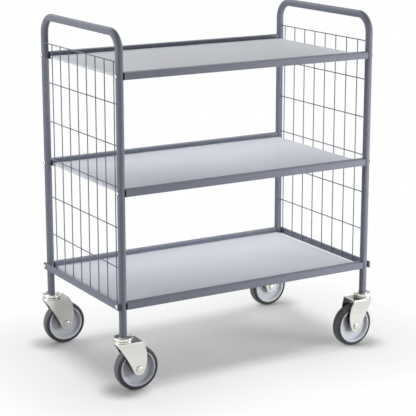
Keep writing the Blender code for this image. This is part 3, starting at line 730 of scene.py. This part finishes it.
castorHead = {
    "pad": 11.9 * mm,           # heights above the fork
    "rim": 13.0 * mm,
    "dish": 10.1 * mm,
    "neck": 4.2 * mm,
    "base": 0.4 * mm,
    "rimRadius": 27.0 * mm,
    "crestRadius": 24.4 * mm,
    "neckRadius": 25.2 * mm,
    "stemRadius": 8.3 * mm,
    "stemTall": 40 * mm,        # above the pad
    "padRadius": 11.8 * mm,
    "dishFrom": 13.4 * mm,
    "dishTo": 20.6 * mm,
    "pinRadius": 6.0 * mm,
    "pinHeadRadius": 10.0 * mm,
    "pinHeadTall": 4.0 * mm,
    "pinClear": 0.3 * mm,       # between the fork's crown and the pin's head
    "roundSteps": 6,
    "around": 96,
}

fork = {
    "top": 143.3 * mm,
    "sheet": 2.5 * mm,
    "nose": 27.8 * mm,          # swivel axis to the front of the crown
    "halfWidth": 27.8 * mm,
    "straightFrom": 21.0 * mm,  # behind the swivel axis; the sides curve in before it
    "planPowers": (1.6, 3.6),   # (forward share)^a + (sideways share)^b = 1
    "tail": 46.5 * mm,
    "shoulder": 3.2 * mm,       # bend between crown and walls
    "kneeHeight": 91.0 * mm,
    "kneeHalfWidth": 22.7 * mm,
    "footHalfWidth": 21.9 * mm,
    "noseHeight": 139.9 * mm,
    "leadBow": 2.8 * mm,
    "tipRadius": 16.8 * mm,
    "tipReach": 25.0,           # degrees below level where the tip meets the rear edge
    "bulge": (61.0 * mm, 88.5 * mm),
    "edge": 0.35 * mm,
    "leadSteps": 24,            # points along the leading edge, the tip and the rear edge
    "tipSteps": 40,
    "rearSteps": 32,
    "noseColumns": 61,
    "sideColumns": 12,
    "crownRows": 7,
    "shoulderRows": 6,
    "wallRows": 29,
    "lowestGuess": 60 * mm,     # first guess for the height of the lower edge
    "lowestRounds": 60,         # each round of guessing halves the step
}

axle = {
    "headRadius": 8.1 * mm,
    "headTall": 2.2 * mm,
    "flatShare": 0.80,          # of the head's radius
    "domeShare": 0.35,          # of the head's height
    "endClear": 0.2 * mm,       # shorter than the CAD axle at each end
    "radius": 5.0 * mm,
    "roundSteps": 5,
    "around": 64,
}

wheel = {
    "radius": 62.5 * mm,
    "tyreWide": 31.0 * mm,
    "tyreThick": 10.8 * mm,
    "tyreClear": 0.3 * mm,      # between rim and tyre
    "footTall": 2.0 * mm,
    "footDraw": 0.3 * mm,       # the tyre's foot is this much narrower on each side
    "shoulderTall": 5.2 * mm,
    "shoulderDraw": 0.1 * mm,
    "crownTall": 1.0 * mm,
    "crownDraw": 4.2 * mm,
    "crownHalf": 5.0 * mm,      # half of the level middle of the tread
    "rimWide": 30.0 * mm,
    "lip": 3.0 * mm,
    "lipSlope": 1.2 * mm,
    "dishRadius": 41.5 * mm,
    "disc": 8.8 * mm,
    "hubRadius": 12.5 * mm,
    "hubFoot": 1.0 * mm,        # the hub's radius grows by this down to the disc
    "hubWide": 38.9 * mm,
    "bore": 5.4 * mm,
    "treadHalf": (11.0 * mm, 13.6 * mm),    # full painted tread light up to here, none from here on
    "roundSteps": 6,
    "around": 112,
}
castorSharp = 50                # degrees, for every piece of a castor
trail = np.linalg.norm(np.array(joints["roll_front_left"]["pos_m"][:2])
                       - np.array(joints["swivel_front_left"]["pos_m"][:2]))
print("castor trail", round(float(trail) / mm, 2), "mm")


# The other half of a section of corners (radius, distance from the middle, round).
def mirrored(half):
    return [(radius, -across, rounding) for radius, across, rounding in reversed(half)]


# The head in section: stem, pad for the tube, shallow dish, rolled rim, neck, skirt and king pin.
def headShell():
    h = castorHead
    z = fork["top"]
    stemTop = z + h["pad"] + h["stemTall"]
    pinTop = z - fork["sheet"] - h["pinClear"]
    section = [
        (0, stemTop, 0), (h["stemRadius"], stemTop, 0.5 * mm), (h["stemRadius"], z + h["pad"], 0.1 * mm),
        (h["padRadius"], z + h["pad"], 0.5 * mm), (h["dishFrom"], z + h["dish"], 0.9 * mm),
        (h["dishTo"], z + h["dish"], 1.6 * mm),
        (h["crestRadius"] - 1.6 * mm, z + h["rim"], 1.2 * mm),
        (h["rimRadius"] - 0.1 * mm, z + h["rim"] - 0.3 * mm, 2.5 * mm),
        (h["rimRadius"], z + h["neck"] + 1.4 * mm, 1.1 * mm),
        (h["neckRadius"], z + h["neck"] + 0.5 * mm, 0.5 * mm),
        (h["neckRadius"], z + h["neck"] - 0.5 * mm, 0.5 * mm),
        (h["rimRadius"], z + h["neck"] - 1.4 * mm, 1.0 * mm),
        (h["rimRadius"], z + h["base"], 0.4 * mm), (h["pinRadius"], z + h["base"], 0.1 * mm),
        (h["pinRadius"], pinTop, 0.1 * mm),
        (h["pinHeadRadius"], pinTop, 0.4 * mm), (h["pinHeadRadius"], pinTop - h["pinHeadTall"], 1.2 * mm),
        (0, pinTop - h["pinHeadTall"] - 0.5 * mm, 0),
    ]
    return turned(roundedLoop(section, h["roundSteps"]), h["around"])


# Side outline of the fork: height of the lower edge over t, and reach of the rear edge over height.
def forkOutline():
    nose = np.array([-fork["nose"], fork["noseHeight"]])
    axlePoint = np.array([trail, wheel["radius"]])
    toNose = nose - axlePoint
    tangent = math.atan2(toNose[1], toNose[0]) + math.acos(fork["tipRadius"] / np.linalg.norm(toNose))
    outward = np.array([math.cos(tangent), math.sin(tangent)])
    start = axlePoint + fork["tipRadius"] * outward
    middle = (nose + start) / 2
    bow = middle - fork["leadBow"] * outward
    lead = quadratic(nose, 2 * bow - middle, start, np.linspace(0, 1, fork["leadSteps"])[:, None])
    angle = np.linspace(tangent, math.radians(360 - fork["tipReach"]), fork["tipSteps"])
    tip = axlePoint + fork["tipRadius"] * np.column_stack([np.cos(angle), np.sin(angle)])
    last, top, bulge = tip[-1], np.array([fork["tail"], fork["top"]]), np.array(fork["bulge"])
    share = (bulge[1] - last[1]) / (top[1] - last[1])
    control = (bulge - (1 - share) ** 2 * last - share ** 2 * top) / (2 * share * (1 - share))
    rear = quadratic(last, control, top, np.linspace(0, 1, fork["rearSteps"])[:, None])
    return np.concatenate([lead, tip[1:]]), rear


# The pressed fork as one sheet. Columns run round the plan, straight sides and a curved nose;
# rows run from the spine over the crown, round the shoulder and down the wall to the lower edge.
# The inner face is the same surface drawn in by the sheet's thickness.
def forkShell():
    lower, rear = forkOutline()
    front = np.linspace(math.pi / 2, 3 * math.pi / 2, fork["noseColumns"])
    forward, sideways = (2 / power for power in fork["planPowers"])
    noseT = fork["straightFrom"] - (fork["nose"] + fork["straightFrom"]) * np.abs(np.cos(front)) ** forward
    noseY = np.sign(np.sin(front)) * np.abs(np.sin(front)) ** sideways
    straight = np.linspace(fork["tail"], fork["straightFrom"], fork["sideColumns"] + 1)[:-1]
    planT = np.concatenate([straight, noseT, straight[::-1]])
    planY = np.concatenate([np.ones(len(straight)), noseY, -np.ones(len(straight))])

    def reachAt(z):     # points behind the swivel axis lie further back on the wall than on the crown
        stretch = np.interp(z, rear[:, 1], rear[:, 0]) / fork["tail"]
        return np.where(planT > 0, planT * stretch, planT)

    lowest = np.full(len(planT), fork["lowestGuess"])
    for _ in range(fork["lowestRounds"]):
        lowest = 0.5 * lowest + 0.5 * np.interp(reachAt(lowest), lower[:, 0], lower[:, 1])

    def halfWidthAt(z):     # from the foot straight out to the knee, then curving out to the shoulder
        shoulder = fork["top"] - fork["shoulder"]
        upper = np.clip((z - fork["kneeHeight"]) / (shoulder - fork["kneeHeight"]), 0, 1)
        below = np.clip(z / fork["kneeHeight"], 0, 1)
        return np.where(z > fork["kneeHeight"],
                        fork["kneeHalfWidth"] + upper ** 2 * (fork["halfWidth"] - fork["kneeHalfWidth"]),
                        fork["footHalfWidth"] + below * (fork["kneeHalfWidth"] - fork["footHalfWidth"]))

    def face(inset):
        rowsOut = []
        bend = fork["shoulder"] - inset
        crownTop = fork["top"] - inset
        span = fork["nose"] + fork["straightFrom"]

        def plan(drawn, z):     # the plan at height z, drawn in all round
            narrow = halfWidthAt(z) - drawn
            t = reachAt(z)
            t = np.where(planT < fork["straightFrom"],
                         fork["straightFrom"] + (t - fork["straightFrom"]) * (span - drawn) / span, t)
            return t, planY * narrow

        edgeT, edgeY = plan(inset + bend, np.full(len(planT), crownTop))
        spine = np.clip(planT, 0, None)
        for share in np.linspace(0, 1, fork["crownRows"]):
            rowsOut.append(np.column_stack([spine + (edgeT - spine) * share, edgeY * share,
                                            np.full(len(planT), crownTop)]))
        for turn in np.linspace(0, math.pi / 2, fork["shoulderRows"] + 1)[1:]:
            z = np.maximum(crownTop - bend * (1 - math.cos(turn)), lowest)
            rowsOut.append(np.column_stack([*plan(inset + bend * (1 - math.sin(turn)), z), z]))
        start = rowsOut[-1][:, 2]
        for share in np.linspace(0, 1, fork["wallRows"] + 1)[1:]:
            z = start + (lowest - start) * share
            rowsOut.append(np.column_stack([*plan(inset, z), z]))
        return np.stack(rowsOut)

    outer, inner = face(0.0), face(fork["sheet"])
    count, columns = outer.shape[:2]
    both = np.concatenate([outer, inner[::-1]])
    points, faces = gridShell(both, closeRound=False, ends=False)
    last = 2 * count - 1
    for column in (0, columns - 1):
        out = [row * columns + column for row in range(count)]
        back = [(last - row) * columns + column for row in range(count)]
        faces += [[out[i], out[i + 1], back[i + 1], back[i]] for i in range(count - 1)]
    return points, faces


# Domed bolt head at each end of a plain rod, turned about Y.
def axleShell():
    low, high = (np.array(corner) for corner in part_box("axle_front_left"))
    half = (high[1] - low[1]) / 2 - axle["endClear"]
    wide, tall = axle["headRadius"], axle["headTall"]
    side = [(axle["radius"], half - tall, 0.1 * mm), (wide, half - tall, 0.3 * mm),
            (wide, half - axle["domeShare"] * tall, 0.6 * mm), (wide * axle["flatShare"], half, 0.5 * mm)]
    section = [(0, -half, 0), *mirrored(side), *side, (0, half, 0)]
    return laid(turned(roundedLoop(section, axle["roundSteps"]), axle["around"]), "y")


# Hub, disc, sloping dish and rolled lip, turned about Y.
def rimShell():
    w = wheel
    rimRadius = w["radius"] - w["tyreThick"] - w["tyreClear"]
    lipFoot, slope = rimRadius - w["lip"], w["lipSlope"]
    hubHalf, discHalf, rimHalf = w["hubWide"] / 2, w["disc"] / 2, w["rimWide"] / 2
    half = [
        (w["bore"], hubHalf, 0.3 * mm), (w["hubRadius"], hubHalf, 0.8 * mm),
        (w["hubRadius"] + w["hubFoot"], discHalf, 2.0 * mm), (w["dishRadius"], discHalf, 3.0 * mm),
        (lipFoot - slope, rimHalf - slope, 1.0 * mm), (lipFoot, rimHalf, 0.6 * mm),
        (rimRadius, rimHalf, 0.5 * mm),
    ]
    return laid(turned(roundedLoop(half + mirrored(half), w["roundSteps"]), w["around"]), "y")


# A tyre with crowned tread and round shoulders, turned about Y.
def tyreShell():
    w = wheel
    outer, wide = w["radius"], w["tyreWide"] / 2
    inner = outer - w["tyreThick"]
    half = [
        (inner, wide - w["footDraw"], 0.4 * mm), (inner + w["footTall"], wide, 0.8 * mm),
        (outer - w["shoulderTall"], wide - w["shoulderDraw"], 1.2 * mm),
        (outer - w["crownTall"], wide - w["crownDraw"], 2.6 * mm), (outer, w["crownHalf"], 3.0 * mm),
    ]
    return laid(turned(roundedLoop(half + mirrored(half), w["roundSteps"]), w["around"]), "y")


# The share of painted light on the tread at each point: 1 at the middle, down to 0 over the shoulder,
# (shoulder end - |distance from the wheel's middle plane|) / shoulder width, held within 0 and 1.
def paintTreadLight(piece, hub, turn):
    places = np.empty(len(piece.data.vertices) * 3)
    piece.data.vertices.foreach_get("co", places)
    across = np.abs((places.reshape(-1, 3) - hub) @ [-math.sin(turn), math.cos(turn), 0])
    start, end = wheel["treadHalf"]
    treadLight = piece.data.attributes.new("treadLight", "FLOAT", "POINT")
    treadLight.data.foreach_set("value", np.clip((end - across) / (end - start), 0, 1))


castorParts = {                 # shell, CAD node, material slot and the body that carries it
    "head": (headShell(), "castor_head", "zinc_steel", "frame"),
    "fork": (forkShell(), "fork", "zinc_steel", "swivel"),
    "axle": (axleShell(), "axle", "zinc_steel", "swivel"),
    "rim": (rimShell(), "rim", "rim_plastic", "wheel"),
    "tyre": (tyreShell(), "tyre", "grey_rubber", "wheel"),
}
for corner in corners:
    pivot = np.array(joints[f"swivel_{corner}"]["pos_m"])
    hub = np.array(joints[f"roll_{corner}"]["pos_m"])
    turn = math.atan2(hub[1] - pivot[1], hub[0] - pivot[0])
    for partName, (shell, node, slot, carrier) in castorParts.items():
        place = (pivot[0], pivot[1], 0) if partName in ("head", "fork") else hub
        body = carrier if carrier == "frame" else f"{carrier}_{corner}"
        edge = fork["edge"] if partName == "fork" else 0.0
        piece = makePiece(f"castor_{partName}_{corner}_skin", [standing(shell, place, turn)], body, slot,
                          [f"{node}_{corner}"], sharp=castorSharp, edge=edge)
        if partName == "tyre":
            # the tyre's share of painted light on its tread
            paintTreadLight(piece, hub, turn)
print("castors made")


# Floor

# 1 for a ray that sees the backdrop itself: from the camera, in a reflection or through glass.
def seesBackdrop(tree):
    rays = addNode(tree, "ShaderNodeLightPath")
    seen = rays.outputs["Is Camera Ray"]
    for kind in ("Is Glossy Ray", "Is Transmission Ray"):
        either = addNode(tree, "ShaderNodeMath", {"operation": "MAXIMUM"}, {0: seen, 1: rays.outputs[kind]})
        seen = either.outputs["Value"]
    return seen


floor = {
    "size": 60.0,
    "colour": "#d8d8d8",
    "roughness": 0.9,
    "footprint": (0.36, 0.17),  # half sizes of the patch under the trolley
    "nearWhite": (0.21, 0.08),  # share of plain white over that patch, in its middle and at its ends
    "stepLength": 0.12,         # soft edge of the patch, which adds stepShare
    "stepShare": 0.50,
    "fadeLength": 0.40,         # from there out to nothing but white
    "spotReach": (0.02, 0.09),  # all its own shading up to here from a castor's pivot, then less
}


# Matt studio floor: its own shading under the trolley, fading into plain white all round it.
# The fade follows d = |max(|p| - footprint, 0)|.
def makeFloor():
    bpy.ops.mesh.primitive_plane_add(size=floor["size"])
    plane = bpy.context.object
    plane.name = "studio_floor"
    look = {"Base Color": linear(floor["colour"]), "Roughness": floor["roughness"], "Specular IOR Level": 0.0}
    material, tree, shader, place = startMaterial("mattStudioFloor", look)
    folded = addNode(tree, "ShaderNodeVectorMath", {"operation": "ABSOLUTE"}, {0: place})
    beyond = addNode(tree, "ShaderNodeVectorMath", {"operation": "SUBTRACT", 1: (*floor["footprint"], 0.0)},
                     {0: folded.outputs["Vector"]})
    outside = addNode(tree, "ShaderNodeVectorMath", {"operation": "MAXIMUM", 1: (0.0, 0.0, 0.0)},
                      {0: beyond.outputs["Vector"]})
    away = addNode(tree, "ShaderNodeVectorMath", {"operation": "LENGTH"}, {0: outside.outputs["Vector"]})
    step = addNode(tree, "ShaderNodeMapRange",
                   {"From Max": floor["stepLength"], "To Max": floor["stepShare"],
                    "interpolation_type": "SMOOTHSTEP"},
                   {"Value": away.outputs["Value"]})
    along = addNode(tree, "ShaderNodeSeparateXYZ", None, {"Vector": folded.outputs["Vector"]})
    middle, end = floor["nearWhite"]
    least = addNode(tree, "ShaderNodeMapRange",
                    {"From Max": floor["footprint"][0], "To Min": middle, "To Max": end},
                    {"Value": along.outputs["X"]})
    slow = addNode(tree, "ShaderNodeMapRange",
                   {"From Max": floor["fadeLength"], "To Max": 1 - floor["stepShare"]},
                   {"Value": away.outputs["Value"], "To Min": least.outputs["Result"]})
    both = addNode(tree, "ShaderNodeMath", {"operation": "ADD"},
                   {0: step.outputs["Result"], 1: slow.outputs["Result"]})
    level = addNode(tree, "ShaderNodeVectorMath", {"operation": "MULTIPLY", 1: (1.0, 1.0, 0.0)},
                    {0: folded.outputs["Vector"]})
    toPivot = addNode(tree, "ShaderNodeVectorMath", {"operation": "DISTANCE", 1: (tubeX, tubeY, 0.0)},
                      {0: level.outputs["Vector"]})
    near, far = floor["spotReach"]
    spot = addNode(tree, "ShaderNodeMapRange",
                   {"From Min": near, "From Max": far, "interpolation_type": "SMOOTHSTEP"},
                   {"Value": toPivot.outputs["Value"]})
    fade = addNode(tree, "ShaderNodeMath", {"operation": "MULTIPLY"},
                   {0: both.outputs["Value"], 1: spot.outputs["Result"]})
    share = addNode(tree, "ShaderNodeMath", {"operation": "MULTIPLY"},
                    {0: fade.outputs["Value"], 1: seesBackdrop(tree)})
    white = addNode(tree, "ShaderNodeEmission", {"Color": (1, 1, 1, 1), "Strength": 1.0})
    mix = addNode(tree, "ShaderNodeMixShader", None,
                  {0: share.outputs["Value"], 1: shader.outputs["BSDF"], 2: white.outputs["Emission"]})
    tree.links.new(mix.outputs["Shader"], tree.nodes["Material Output"].inputs["Surface"])
    plane.data.materials.append(material)


makeFloor()


# Light

light = {
    "world": 0.13,
    "lamps": {                  # place, target, size and watts
        "back_softbox": ((-0.2, 2.3, 2.9), (0, 0, 0.4), (2.8, 1.6), 41.0),
        "left_softbox": ((-2.6, 0.3, 1.3), (0, 0, 0.5), (1.6, 1.8), 35.0),
        "right_softbox": ((1.5, 0.3, 1.0), (0, 0, 0.5), (1.0, 1.4), 14.0),
        "low_key": ((1.35, -1.5, 0.45), (0.3, -0.2, 0.35), (0.8, 0.7), 24.0),
        "front_fill": ((0.3, -3.2, 1.0), (0, 0, 0.5), (1.8, 1.4), 4.0),
    },
}


# A rectangular lamp that faces its target and doesn't show itself.
def areaLamp(name, place, target, size, power):
    lamp = bpy.data.lights.new(name, "AREA")
    lamp.shape = "RECTANGLE"
    lamp.size, lamp.size_y = size
    lamp.energy = power
    item = bpy.data.objects.new(name, lamp)
    item.location = place
    away = np.array(place, float) - np.array(target, float)
    item.rotation_euler = (math.acos(away[2] / np.linalg.norm(away)), 0,
                           math.atan2(away[1], away[0]) + math.pi / 2)
    item.visible_camera = False
    bpy.context.scene.collection.objects.link(item)


# A world that is white where it is seen and gives faint light from all round, and the lamps.
def makeLight():
    world = bpy.data.worlds.new("studio")
    world.use_nodes = True
    tree = world.node_tree
    tree.nodes.remove(tree.nodes["Background"])
    soft = addNode(tree, "ShaderNodeBackground", {"Color": (1, 1, 1, 1), "Strength": light["world"]})
    white = addNode(tree, "ShaderNodeBackground", {"Color": (1, 1, 1, 1), "Strength": 1.0})
    mix = addNode(tree, "ShaderNodeMixShader", None,
                  {0: seesBackdrop(tree), 1: soft.outputs["Background"], 2: white.outputs["Background"]})
    tree.links.new(mix.outputs["Shader"], tree.nodes["World Output"].inputs["Surface"])
    bpy.context.scene.world = world
    for name, (place, target, size, power) in light["lamps"].items():
        areaLamp(name, place, target, size, power)


makeLight()


# Camera

camera = {
    "place": (-2.1341, -3.6066, 1.4479),
    "azimuth": -30.65,          # degrees, 0 looks along +Y
    "down": 13.84,              # degrees
    "lens": 127.36,             # mm
    "sensor": 36.0,             # mm
    "clipEnd": 100.0,
}


# The view from the front left, a little from above, with no shift.
def makeCamera():
    eye = bpy.data.cameras.new("photo_view")
    eye.sensor_width = camera["sensor"]
    eye.lens = camera["lens"]
    eye.clip_end = camera["clipEnd"]
    item = bpy.data.objects.new("photo_view", eye)
    item.location = camera["place"]
    item.rotation_euler = (math.radians(90 - camera["down"]), 0, math.radians(camera["azimuth"]))
    bpy.context.scene.collection.objects.link(item)
    bpy.context.scene.camera = item


makeCamera()
bpy.context.scene.view_settings.view_transform = "Standard"
print("floor, light and camera made")
